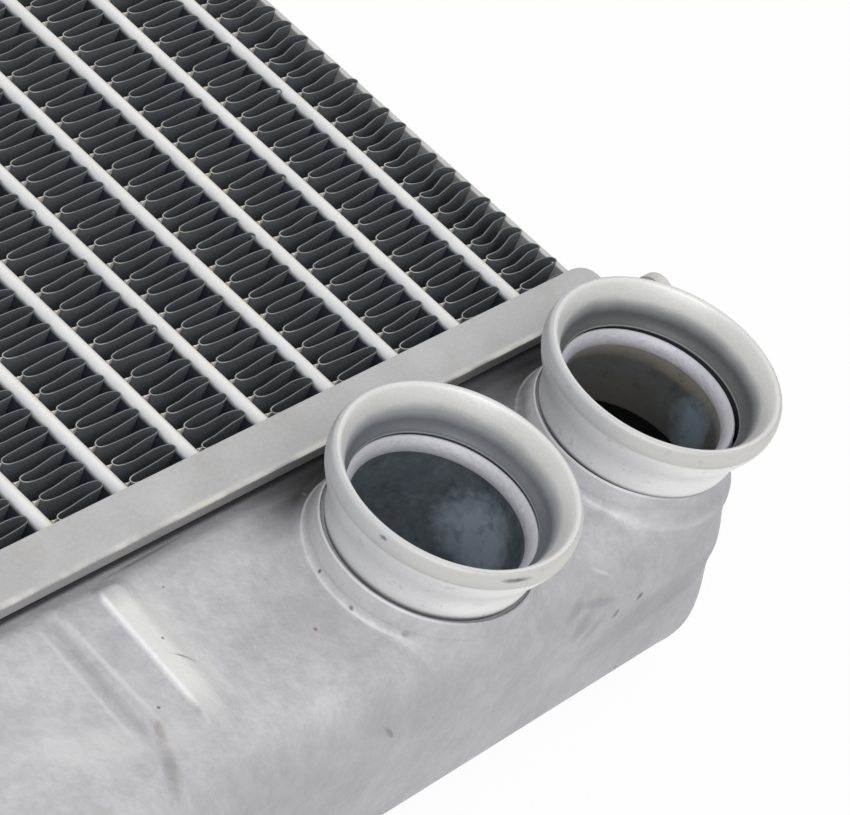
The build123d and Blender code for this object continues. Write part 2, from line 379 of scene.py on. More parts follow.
tube_low_corner, tube_high_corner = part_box(tube_nodes[0])
tube_middle = (tube_low_corner[2] + tube_high_corner[2]) / 2
tube_nose = (tube_high_corner[2] - tube_low_corner[2]) / 2 + nose_rise * 0.001
tube_finish = metal_finish("tube_aluminium", (242, 241, 237), (228, 227, 224), patch=120, metallic=0.2,
                           rough=(0.35, 0.5), specks=0.2, paint=tube_marks)
for index, node in enumerate(tube_nodes):
    add_piece(f"tube_{index + 1:02d}", [flat_tube(node, index)], [node], [tube_finish])


# Corrugated fins
# One thin aluminium sheet folded to and fro between two tubes, its bends brazed to their sides.
# The sheet's dark tones are painted shade for the gaps between the folds; its cut top edge carries a painted
# highlight, and the braze fillets are light.
fin_nodes = sorted(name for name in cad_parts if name.startswith("fin_"))
fold_pitch = 2.6
fin_sheet = 0.11
fin_top_rise = 0.1
fin_shift = 0.36
fin_lean = -0.005
fold_roundness = 0.3
fold_flatness = 1.45
bend_clearance = 0.36
least_clearance = 0.12
reach_spread = 0.09
place_spread = 0.07
bow_spread = 0.09
crush_depth = 3.0
fold_points = 24
fillet_half = 0.27
fillet_drops = (0.64, 0.04)
bare_end = 0.6
first_seed = 40
inner_row = (1.0, 0.07)
outer_row = (1.5, 0.34)
edge_highlight_tone = (122, 125, 125)
bend_highlight_tone = (196, 196, 190)


def smooth_random(rng, count, positions, spread):
    """One random value per fold, carried smoothly between folds."""
    values = rng.normal(0, spread, count + 2)
    share = np.clip(positions, 0, count)
    low = share.astype(int)
    part = share - low
    part = part * part * (3 - 2 * part)
    return values[low] * (1 - part) + values[low + 1] * part


def fin_line(low, high, depths, seed, uneven, curl, crushed):
    """The folded sheet's centre line at several depths: across the channel it swings as a flattened
    cosine, and along it the phase runs on, faster at the bends, with a lean, a slight S in each leg and
    small random shifts per fold. Crushed places push the legs near the top along the channel."""
    rng = np.random.default_rng(seed)
    folds = int(round((high[1] - low[1]) / fold_pitch * 2))
    phase = np.linspace(0, np.pi * folds, folds * fold_points // 2 + 1)
    fold = phase / np.pi
    reach = (high[0] - low[0]) / 2 - bend_clearance
    further = smooth_random(rng, folds, fold, reach_spread * uneven)
    reach = reach + np.minimum(further, bend_clearance - least_clearance)
    swing = np.tanh(fold_flatness * np.cos(phase)) / np.tanh(fold_flatness)
    across = reach * swing
    along = low[1] + (high[1] - low[1]) * fold / folds
    along = along + fold_roundness * np.sin(2 * phase) * fold_pitch / (2 * np.pi)
    along = along + smooth_random(rng, folds, fold, place_spread * uneven)
    along = along - fin_lean * across
    bow = smooth_random(rng, folds, fold, bow_spread * uneven) + curl
    along = along + bow * np.sin(np.pi * swing)
    x = np.repeat((low[0] + high[0]) / 2 + fin_shift + across[:, None], len(depths), 1)
    y = np.repeat(along[:, None], len(depths), 1)
    for centre_x, centre_y, reach_x, reach_y, push in crushed:
        near = np.exp(-((x - centre_x) / reach_x) ** 2 - ((y - centre_y) / reach_y) ** 2)
        y = y + push * near * np.exp(-((fin_top - depths) / crush_depth) ** 2)[None]
    return x, y


def fin_sheet_surface(x, y, depths):
    """Both faces of the sheet at half its thickness from the centre line, joined at both edges."""
    slope_x, slope_y = np.gradient(x, axis=0), np.gradient(y, axis=0)
    length = np.hypot(slope_x, slope_y)
    side_x, side_y = -slope_y / length * fin_sheet / 2, slope_x / length * fin_sheet / 2
    z = np.broadcast_to(depths, x.shape)
    front = np.stack([x + side_x, y + side_y, z], -1)
    back = np.stack([x - side_x, y - side_y, z], -1)
    ring = np.concatenate([front, back[:, ::-1]], 1)
    rows, columns = ring.shape[:2]
    quads = grid_quads(rows, columns, False, True)
    level = np.arange(len(depths) - 1)
    end = np.stack([level, level + 1, columns - 2 - level, columns - 1 - level], 1)
    return ring.reshape(-1, 3), np.concatenate([quads, end, end[:, ::-1] + (rows - 1) * columns])


def fillets(bend_x, bend_y, wall_x, top, bottom):
    """Braze fillets: a concave web from the tube's wall to each bend, sunk and rounded off at the top."""
    share = np.array([0.0, 0.22, 0.55, 1.0, 1.0, 0.55, 0.22, 0.0])
    width = np.array([-1.0, -0.55, -0.24, -0.16, 0.16, 0.24, 0.55, 1.0]) * fillet_half
    level = np.array([bottom, top - 0.5, top - 0.15, top])
    shrink = np.array([1.0, 1.0, 0.85, 0.45])
    away = (bend_x - wall_x)[:, None, None]
    x = wall_x + away * share * np.where(shrink[:, None] < 1, 0.9 + 0.1 * shrink[:, None], 1.0)
    y = bend_y[:, None, None] + width * shrink[:, None]
    z = np.broadcast_to(level[:, None], x.shape[1:])[None]
    points = np.stack(np.broadcast_arrays(x, y, z), -1)
    count = points.shape[0]
    sides = grid_quads(4, 8, False, True)
    cap = np.array([[0, 1, 6, 7], [1, 2, 5, 6], [2, 3, 4, 5]])
    shape = np.concatenate([sides, cap[:, ::-1], cap + 24])
    quads = (shape[None] + np.arange(count)[:, None, None] * 32).reshape(-1, 4)
    return points.reshape(-1, 3), quads


def fin_marks(tree, colour):
    """Painted highlight along the cut top edge, brightest by the bends at each channel's left."""
    place, x, _, z = object_place(tree)
    across = combine(tree, "ADD", x, tube_pitch * 0.0005)
    across = combine(tree, "FLOORED_MODULO", across, tube_pitch * 0.001)
    near_bend = remap(tree, across, 0.0030, 0.0016)
    tone = blend_colour(tree, near_bend, linear(edge_highlight_tone), linear(bend_highlight_tone))
    edge = product(tree, (z, fin_top * 0.001 - 0.00006, fin_top * 0.001 - 0.00001),
                   (noise(tree, 900, 2, place), 0.3, 0.6, 0.4, 1.0))
    return blend_colour(tree, edge, colour, tone)


fin_top = tube_high_corner[2] * 1000 + fin_top_rise
# Dark fin tones stand in for shade: painted shade between the folds
fin_finish = metal_finish("fin_aluminium", (120, 124, 129), (95, 99, 105), patch=200,
                          rough=(0.5, 0.7), specks=0.0, paint=fin_marks)
braze_finish = metal_finish("braze_fillets", (228, 225, 216), (196, 191, 180), patch=500, metallic=0.2,
                            rough=(0.45, 0.6), specks=0.3)
# Crushed places by row: centre, reach to either side of it, and its push along y
crushed_places = {13: [(52.8, -30.2, 2.2, 1.6, 0.9)], 12: [(40.5, -36.0, 1.6, 1.5, -0.7)],
                  14: [(60.5, -44.0, 2.0, 1.8, 0.8)], 10: [(21.0, -8.0, 2.0, 2.0, 0.7)]}
for index, node in enumerate(fin_nodes):
    low, high = node_span(node)
    low[0], high[0] = round(low[0]), round(high[0])  # the tubes' sides
    middle_depth = (low[2] + fin_top) / 2
    depths = np.array([low[2], low[2] + 2, middle_depth, fin_top - 4, fin_top - 2, fin_top - 0.8, fin_top])
    uneven, curl = outer_row if index in (0, len(fin_nodes) - 1) else inner_row
    x, y = fin_line(low, high, depths, first_seed + index, uneven, curl, crushed_places.get(index, []))
    surfaces = [(*fin_sheet_surface(x, y, depths), 0)]
    bends = np.arange(0, len(x), fold_points // 2)
    for side, wall in enumerate((high[0], low[0])):
        picked = bends[side::2]
        picked = picked[(y[picked, -1] > low[1] + bare_end) & (y[picked, -1] < high[1] - bare_end)]
        web = fillets(x[picked, -1], y[picked, -1], wall, fin_top - fillet_drops[side], low[2] + 0.1)
        surfaces.append((*web, side))
    add_piece(f"fins_{index + 1:02d}", surfaces, [node], [fin_finish, braze_finish])


# Side plates
# Thin rolled aluminium sheet outside the last fin row on each side, with one stiffening bead,
# brazed to the fins' crests and held by the headers at its ends.
plate_edge = 0.2
plate_rise = 1.9
plate_top_depth = 0.5
bevel_steps = 3
bevel_angle = 40.0
sharp_angle = 30.0
flat_angle = 0.5
plate_finish = metal_finish("side_plate_aluminium", (214, 214, 212), (190, 190, 188), patch=80,
                            rough=(0.4, 0.55), specks=0.4)


def dressed_copy(name, node, finish, bevel):
    """A merged copy of a CAD node's mesh with its edges rounded by a Bevel modifier."""
    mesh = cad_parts[node].data.copy()
    mesh.name = name
    solid = bmesh.new()
    solid.from_mesh(mesh)
    bmesh.ops.remove_doubles(solid, verts=solid.verts, dist=2 * weld_distance)
    bmesh.ops.dissolve_limit(solid, angle_limit=math.radians(flat_angle), verts=solid.verts,
                             edges=solid.edges)
    solid.to_mesh(mesh)
    solid.free()
    mesh.materials.clear()
    mesh.materials.append(finish)
    mesh.polygons.foreach_set("use_smooth", np.ones(len(mesh.polygons), bool))
    mesh.set_sharp_from_angle(angle=math.radians(sharp_angle))
    piece = bpy.data.objects.new(name, mesh)
    bpy.context.collection.objects.link(piece)
    rounded = piece.modifiers.new("rounded_edges", "BEVEL")
    rounded.width = bevel * 0.001
    rounded.segments = bevel_steps
    rounded.limit_method = "ANGLE"
    rounded.angle_limit = math.radians(bevel_angle)
    rounded.use_clamp_overlap = True
    rounded.harden_normals = True
    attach(piece, "root")
    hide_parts(node)
    return piece


def vertices_of(piece):
    """The places of a piece's vertices in metres, one row for each."""
    places = np.empty(len(piece.data.vertices) * 3, np.float32)
    piece.data.vertices.foreach_get("co", places)
    return places.reshape(-1, 3)


for side in ("left", "right"):
    node = f"{side}_side_plate"
    plate = dressed_copy(f"{side}_plate", node, plate_finish, plate_edge)
    corners = vertices_of(plate)
    at_top = corners[:, 2] > (node_span(node)[1][2] - plate_top_depth) * 0.001
    corners[:, 2] += at_top * plate_rise * 0.001
    plate.data.vertices.foreach_set("co", corners.ravel())


# Header plates
# Shallow pressed aluminium pans that the tubes pass into, their rims folded round the tanks.
# The front one has a small rounded locating ear on its right end wall.
header_edge = 0.35
rim_face_y = -56.6
end_stretch = 1.2
end_pull = 0.7
ear_back = 0.6
ear_forward = 0.75
end_start = 65.0
ear_foot = 30.8
back_start = -55.0
pull_start, pull_run = 68.0, 7.6


def header_marks(tree, colour):
    """The rim's face over the tank carries painted shade, darker towards the ports, its upper edge a patchy
    painted highlight, and faint stains lie along the top."""
    place, x, y, z = object_place(tree)
    rim_face = (y, (rim_face_y + 0.3) * 0.001, (rim_face_y + 0.05) * 0.001)
    highlight_patches = (noise(tree, 240, 4, place), 0.4, 0.6, 0.1, 0.7)
    stains = (noise(tree, 130, 5, place, 0.65), 0.52, 0.7, 0.0, 0.35)
    return coats(
        tree, colour,
        # Painted shade on the rim's face, darker towards the ports
        ((104, 103, 104), rim_face, (z, 0.0310, 0.0306), (x, -0.03, 0.04, 0.05, 0.8)),
        # Painted highlight, patchy, along the rim's upper edge
        ((226, 224, 216), (y, -0.0558, -0.0562), (z, 0.0301, 0.0303), highlight_patches),
        ((172, 169, 160), stains))


header_finish = metal_finish("header_aluminium", (198, 198, 199), (180, 179, 179), patch=140, grain=2200,
                             rough=(0.45, 0.6), specks=0.6, paint=header_marks)
front_plate = dressed_copy("header_front", "front_header", header_finish, header_edge)
corners = vertices_of(front_plate)
at_end = corners[:, 0] > end_start * 0.001
on_ear = corners[:, 2] > ear_foot * 0.001
behind = corners[:, 1] > back_start * 0.001
pull = np.clip((corners[:, 0] - pull_start * 0.001) / (pull_run * 0.001), 0, 1)
corners[:, 0] += at_end * end_stretch * 0.001 - on_ear * ear_back * 0.001
corners[:, 1] -= on_ear * ear_forward * 0.001 + behind * pull * end_pull * 0.001
front_plate.data.vertices.foreach_set("co", corners.ravel())
dressed_copy("header_rear", "rear_header", header_finish, header_edge)


# Tanks
# Deep pressed aluminium pans that close the headers, blasted to a fine grey grain. The front one
# has two cross beads at its left and two necks drawn up out of its top for the collars.
tank_wall = 1.5
top_edge_radius = 7.0
bottom_edge_radius = 8.5
end_edge_radius = 3.5
plan_radius = 14.0
low_plan_radius = 9.0
rear_plan_radius = 8.0
plan_heights = (9.0, 20.0)
corner_swell = 4.0
rim_dip = 0.6
rim_run = (2.4, 0.2)
bore_cut = 10.4
neck_foot = 11.7
neck_taper = 0.2
neck_fillet = 0.7
front_fillet = 1.6
fillet_run = (5.5, 11.0)
flare_side = (0.42, -0.91)
far_neck_flare = 0.085
flare_run = 9.0
flare_fall = 3.0
far_neck_shift = (-0.1, 0.23)
far_neck_scale = 0.968
shoulder_z = 32.0
ledge_drop = 0.3
spigot_z = 35.38
bead_lean = 0.08
bead_middle_y = -66.0
raised_bead = (-8.7, -7.8, -6.2, -3.4, 0.75, -74.0, -59.4)
sunk_bead = (-15.7, -13.5, -13.1, -12.3, 0.6, -73.6, -59.4)
slope_step = 0.01
least_steepness = 0.25
most_move = 0.25
near_low, near_high = node_span("near_port_collar")
far_low, far_high = node_span("far_port_collar")
front_low, front_high = node_span("front_tank")
rear_low, rear_high = node_span("rear_tank")
port_y = (near_low[1] + near_high[1]) / 2
port_x = ((near_low[0] + near_high[0]) / 2, (far_low[0] + far_high[0]) / 2)
tank_half = front_high[0]
tank_low, tank_high = rear_low[2], rear_high[2]
front_y, front_edge_y = front_low[1], front_high[1]
rear_y, rear_edge_y = rear_high[1], rear_low[1]
rim_y = front_edge_y - 2.9
ledge_z = shoulder_z - ledge_drop
neck_centres = ((port_x[0], port_y), (port_x[1] + far_neck_shift[0], port_y + far_neck_shift[1]))
neck_scales = (1.0, far_neck_scale)


def round_max(first, second, radius):
    """Where two solids overlap, with the edge between them rounded: inside the corner, the distance
    to an arc of the radius."""
    corner = np.hypot(np.maximum(first + radius, 0), np.maximum(second + radius, 0))
    return np.minimum(np.maximum(first, second), -radius) + corner


def round_min(first, second, radius):
    """Two solids joined, with a fillet of the radius in the corner between them."""
    corner = np.hypot(np.maximum(radius - first, 0), np.maximum(radius - second, 0))
    return np.maximum(np.minimum(first, second), radius) - corner


def soft_step(value, low, high):
    """0 below low, 1 above high, and an even curve between."""
    share = np.clip((value - low) / (high - low), 0, 1)
    return share * share * (3 - 2 * share)


def pan_distance(p, reach_y, outward, upper_plan, lower_plan, swell):
    """Distance to a box whose outward plan corners, top edge and bottom edge are rounded. The plan
    corners are wider at the top than low down, and the top edge's radius grows from the ends' to the
    front's round the corner, with a swell in between."""
    plan = lower_plan + (upper_plan - lower_plan) * soft_step(p[..., 2], *plan_heights)
    past_end = np.abs(p[..., 0]) - tank_half
    past_front = outward * (p[..., 1] - reach_y)
    side = round_max(past_end, past_front, plan)
    turn = np.arctan2(np.maximum(past_front + upper_plan, 0), np.maximum(past_end + upper_plan, 1e-3))
    front = soft_step(turn, 0.15, 1.35)
    upper = end_edge_radius + (top_edge_radius - end_edge_radius) * front + swell * np.sin(2 * turn) ** 2
    lower = end_edge_radius + (bottom_edge_radius - end_edge_radius) * front
    return round_max(round_max(side, p[..., 2] - tank_high, upper), tank_low - p[..., 2], lower)


def bead(p, place):
    """Height of a bead over the top: across x it climbs one flank and falls down the other, it leans
    a little along y, and it fades at both ends."""
    climb_start, climb_end, fall_start, fall_end, height, start, end = place
    along = p[..., 0] - bead_lean * (p[..., 1] - bead_middle_y)
    across = soft_step(along, climb_start, climb_end) * (1 - soft_step(along, fall_start, fall_end))
    ends = soft_step(p[..., 1], start - 2.6, start) * (1 - soft_step(p[..., 1], end, end + 1.4))
    return height * across * ends


def front_pan_distance(p):
    """The front tank's plain pan, before its beads and necks."""
    return pan_distance(p, front_y, -1, plan_radius, low_plan_radius, corner_swell)


def front_tank_distance(p):
    """The pan, raised and sunk by the beads and joined by a fillet to the feet of both necks, of which
    the far one is drawn out towards the pan's front corner. It is made a shell by taking the same pan
    off it a wall further in, and cut through by both bores."""
    body = front_pan_distance(p)
    near_rim = soft_step(p[..., 1], rim_y - rim_run[0], rim_y - rim_run[1])
    top_side = soft_step(p[..., 2], tank_high - 4, tank_high - 1)
    outer = body - bead(p, raised_bead) + bead(p, sunk_bead) + rim_dip * near_rim * top_side
    bore = np.full(p.shape[:-1], 1e3)
    for (x, y), scale, flare in zip(neck_centres, neck_scales, (0.0, far_neck_flare)):
        across = np.hypot(p[..., 0] - x, p[..., 1] - y) / scale
        out = flare_side[0] * (p[..., 0] - x) + flare_side[1] * (p[..., 1] - y)
        below = shoulder_z - 0.8 - p[..., 2]
        wider = 1 + flare * soft_step(out, 0.0, flare_run) * soft_step(below, 0.0, flare_fall)
        cone = across / wider - neck_foot + 0.02 + neck_taper * np.maximum(p[..., 2] - tank_high, 0)
        foot = np.maximum(cone, p[..., 2] - (shoulder_z - 1.0))
        ahead = soft_step(port_y - p[..., 1], *fillet_run)
        outer = round_min(outer, np.maximum(foot, tank_high - 6 - p[..., 2]),
                          neck_fillet + (front_fillet - neck_fillet) * ahead)
        bore = np.minimum(bore, np.maximum(across - bore_cut, tank_high - 8 - p[..., 2]))
    shell = np.maximum(outer, -(body + tank_wall))
    return np.maximum(np.maximum(shell, -bore), p[..., 1] - front_edge_y)


def rear_tank_distance(p):
    """The plain pan behind, made a shell in the same way."""
    body = pan_distance(p, rear_y, 1, rear_plan_radius, rear_plan_radius, 0.0)
    return np.maximum(np.maximum(body, -(body + tank_wall)), rear_edge_y - p[..., 1])


def cut(*slices):
    """An index into three axes from pairs of an axis and its slice, with the other axes whole."""
    index = [slice(None)] * 3
    for axis, piece in slices:
        index[axis] = piece
    return tuple(index)


def skin(distance, x_line, y_line, z_line):
    """The surface where a distance is nought, as quads: one point in each grid cell that it crosses,
    at the mean of its edge crossings, then moved along the slope onto the surface."""
    grid = np.stack(np.meshgrid(x_line, y_line, z_line, indexing="ij"), -1)
    value = distance(grid)
    value = np.where(value == 0, 1e-6, value)
    total = np.zeros([n - 1 for n in value.shape] + [3])
    count = np.zeros(total.shape[:3])
    edges = []
    for axis in range(3):
        one, two = cut((axis, slice(0, -1))), cut((axis, slice(1, None)))
        a, b = value[one], value[two]
        crossed = (a < 0) != (b < 0)
        share = np.where(crossed, a / np.where(crossed, a - b, 1), 0)[..., None]
        point = grid[one] * (1 - share) + grid[two] * share
        others = [n for n in range(3) if n != axis]
        edges.append((crossed, others))
        for steps in ((0, 0), (0, 1), (1, 0), (1, 1)):
            part = cut(*((other, slice(step, value.shape[other] - 1 + step))
                         for other, step in zip(others, steps)))
            total += np.where(crossed[part][..., None], point[part], 0)
            count += crossed[part]
    used = count > 0
    number = np.full(used.shape, -1)
    number[used] = np.arange(used.sum())
    points = total[used] / count[used][:, None]
    for _ in range(4):
        slope = np.stack([distance(points + step) - distance(points - step)
                          for step in np.eye(3) * slope_step], -1) / (2 * slope_step)
        size = np.maximum((slope ** 2).sum(-1), least_steepness)
        move = (distance(points) / size)[:, None] * slope
        points = points - np.clip(move, -most_move, most_move)
    quads = []
    for crossed, others in edges:
        found = np.argwhere(crossed[cut((others[0], slice(1, -1)), (others[1], slice(1, -1)))])
        found[:, others] += 1
        corners = []
        for steps in ((0, 0), (1, 0), (1, 1), (0, 1)):
            cell = found.copy()
            cell[:, others] -= steps
            corners.append(number[tuple(cell.T)])
        quads.append(np.stack(corners, 1))
    return points, np.concatenate(quads)


def turned(profile, centre, steps=180):
    """A closed profile of (radius, height) points turned about an upright axis."""
    turn = np.linspace(0, 2 * np.pi, steps, endpoint=False)
    radius, height = np.array(profile, float).T
    x = centre[0] + radius[:, None] * np.cos(turn)
    y = centre[1] + radius[:, None] * np.sin(turn)
    z = np.broadcast_to(height[:, None], x.shape)
    return np.stack([x, y, z], -1).reshape(-1, 3), grid_quads(len(radius), steps, True, True)


def rounded_profile(corners, step=0.12):
    """A closed profile through (radius, height, rounding) corners: each corner gives way to an arc
    that its two edges touch, drawn as a parabola between the touching points."""
    corner = np.array(corners, float)
    place, size = corner[:, :2], corner[:, 2]
    before, after = np.roll(place, 1, 0) - place, np.roll(place, -1, 0) - place
    from_point = place + before / np.linalg.norm(before, axis=1)[:, None] * size[:, None]
    to_point = place + after / np.linalg.norm(after, axis=1)[:, None] * size[:, None]
    pieces = []
    for start, middle, end, rounding in zip(from_point, place, to_point, size):
        share = np.linspace(0, 1, max(int(rounding / step) + 2, 2) if rounding else 1)[:, None]
        pieces.append((1 - share) ** 2 * start + 2 * share * (1 - share) * middle + share ** 2 * end)
    return np.concatenate(pieces)


def ring_distance(tree, x, y):
    """Distance from the nearer port's axis, in metres: the length of (x - port x, y - port y)."""
    lengths = []
    off_y = combine(tree, "SUBTRACT", y, float(port_y) * 0.001)
    for centre_x in port_x:
        off_x = combine(tree, "SUBTRACT", x, float(centre_x) * 0.001)
        squares = combine(tree, "ADD", product(tree, off_x, off_x), product(tree, off_y, off_y))
        lengths.append(combine(tree, "SQRT", squares, 0.0))
    return combine(tree, "MINIMUM", *lengths)


def band_mask(tree, value, centre, half_width):
    """1 where a value in metres is at the centre, falling evenly to 0 at the half width to either
    side, both in millimetres."""
    off = combine(tree, "ABSOLUTE", combine(tree, "SUBTRACT", value, centre * 0.001), 0.0)
    return remap(tree, off, 0.0, half_width * 0.001, 1.0, 0.0)


def mark(tree, place, colour, centre, size, tone, strength, turn=(0, 0, 0)):
    """A soft-edged stain: an ellipsoid of a centre and half sizes in millimetres and turns in degrees,
    with its edge shifted by noise."""
    local = shader_node(tree, "ShaderNodeMapping", {
        "Vector": place, "Location": [v * 0.001 for v in centre],
        "Rotation": [math.radians(v) for v in turn], "Scale": [v * 0.001 for v in size]})
    local.vector_type = "TEXTURE"
    length = shader_node(tree, "ShaderNodeVectorMath", {0: local.outputs[0]})
    length.operation = "LENGTH"
    edge = ragged(tree, length.outputs["Value"], place, 900, 3, 0.7)
    return coat(tree, colour, tone, (edge, 1.45, 0.8, 0.0, strength))


# Each cloud: noise scale and roughness, its ramp, and the tone
tank_clouds = {
    "beige": (95, 0.62, (0.5, 0.68, 0.0, 0.38), (184, 182, 174)),
    "bluish": (60, 0.62, (0.34, 0.5, 0.42, 0.0), (170, 170, 182)),
    "mottle": (420, 0.7, (0.42, 0.62, 0.0, 0.32), (160, 159, 162))}
# Each line along the beads, painted highlights on the edges and painted shade on the sunk floor: lean, place
# and half width, where it is full, its strength, and the tone
bead_lines = {
    "raised_edge_highlight": (bead_lean, -8.05, 0.4, 0.9, 0.8, (250, 250, 251)),
    "sunk_left_edge_highlight": (0.075, -15.75, 0.36, 0.7, 0.35, (222, 221, 221)),
    "sunk_right_edge_highlight": (0.02, -12.35, 0.36, 0.7, 0.4, (222, 221, 221)),
    "sunk_floor_shade": (bead_lean, -13.6, 0.9, 0.6, 0.4, (152, 152, 150))}
# Each stain: centre, half sizes, tone, strength, and its turn where it has one. The short crease is a
# painted highlight; the crescents, the dent and its edge, the groove's end and the grey below it, the joggle
# and the patch between the ports are painted shade
tank_stains = {
    "crease_highlight": ((43.4, -81.4, 27.2), (2.6, 0.2, 0.8), (212, 212, 215), 0.6, (0, 0, -29)),
    "left_crescent_shade": ((38.6, -82.9, 25.4), (2.0, 1.4, 0.8), (146, 144, 152), 0.55, (0, -25, 0)),
    "right_crescent_shade": ((42.6, -83.2, 24.9), (3.6, 1.4, 0.6), (146, 144, 152), 0.55, (0, 14, 0)),
    "dent": ((40.3, -83.6, 23.0), (1.5, 1.4, 2.3), (142, 141, 148), 0.55, (0, 40, 0)),
    "dent_edge_shade": ((42.6, -83.9, 21.4), (1.3, 1.2, 2.4), (146, 144, 151), 0.45, (0, 30, 0)),
    "right_speck": ((50.0, -84.0, 22.5), (0.6, 0.6, 0.55), (112, 104, 88), 0.85),
    "middle_speck": ((46.3, -84.0, 22.0), (0.5, 0.5, 0.7), (120, 116, 106), 0.75),
    "low_nick": ((54.5, -83.9, 8.9), (0.35, 0.6, 0.3), (90, 88, 90), 0.9),
    "wall_streak": ((10.2, -83.4, 24.5), (1.3, 0.8, 0.3), (132, 130, 136), 0.7, (0, 50, 0)),
    "foot_speck": ((14.2, -67.7, 29.4), (0.22, 0.22, 0.3), (86, 84, 84), 0.9),
    "second_foot_speck": ((13.7, -72.6, 29.3), (0.22, 0.4, 0.3), (98, 94, 90), 0.85),
    "orange_speck": ((8.9, -72.5, 28.9), (0.25, 0.25, 0.5), (142, 100, 66), 0.85),
    "back_speck": ((20.8, -59.6, 28.9), (0.35, 0.35, 0.5), (90, 88, 88), 0.9),
    "neck_scratch": ((15.8, -77.8, 29.7), (0.6, 0.25, 0.5), (128, 126, 128), 0.8, (0, 0, -50)),
    "bead_speck": ((-6.0, -66.2, 29.6), (0.18, 0.18, 0.5), (120, 118, 116), 0.85),
    "top_speck": ((-0.8, -61.3, 28.9), (0.16, 0.16, 0.5), (124, 122, 122), 0.8),
    "groove_speck": ((-11.6, -71.7, 28.8), (0.2, 0.2, 0.5), (104, 102, 100), 0.85),
    "bead_scratch": ((-5.6, -68.8, 29.3), (1.8, 0.14, 0.8), (140, 139, 142), 0.8, (0, 0, -40)),
    "brown_dent": ((-13.2, -73.6, 28.3), (1.2, 0.4, 1.4), (106, 86, 74), 0.85, (0, 0, 72)),
    "pale_dent": ((-13.9, -75.2, 28.4), (0.7, 0.6, 1.3), (226, 218, 214), 0.8),
    "groove_end_shade": ((-13.6, -74.4, 28.4), (3.2, 0.9, 0.9), (160, 160, 160), 0.6, (0, 0, 62)),
    "shade_below_groove": ((-15.6, -77.4, 28.3), (3.2, 1.0, 1.6), (144, 144, 144), 0.65, (0, 0, 62)),
    "soft_highlight": ((-20.0, -72.0, 28.85), (13.0, 2.6, 1.0), (220, 219, 218), 0.42, (0, 0, -21)),
    "joggle_shade": ((1.0, -57.4, 28.2), (7.0, 0.22, 0.9), (112, 110, 112), 0.7, (0, 0, 2)),
    "shade_between_ports": ((44.0, -60.0, 28.8), (12.0, 7.5, 2.6), (88, 87, 91), 0.85)}
# Painted pools of light low in each bore, and a warmer patch high in the far one
lining_stains = {
    "near_light_pool": ((34.6, -72.4, 27.4), (2.6, 6.2, 5.4), (196, 208, 220), 0.85),
    "far_light_pool": ((67.4, -74.2, 29.4), (2.2, 3.6, 4.6), (158, 176, 190), 0.95),
    "far_upper": ((67.6, -69.4, 32.9), (2.2, 3.2, 1.0), (158, 150, 138), 0.6)}


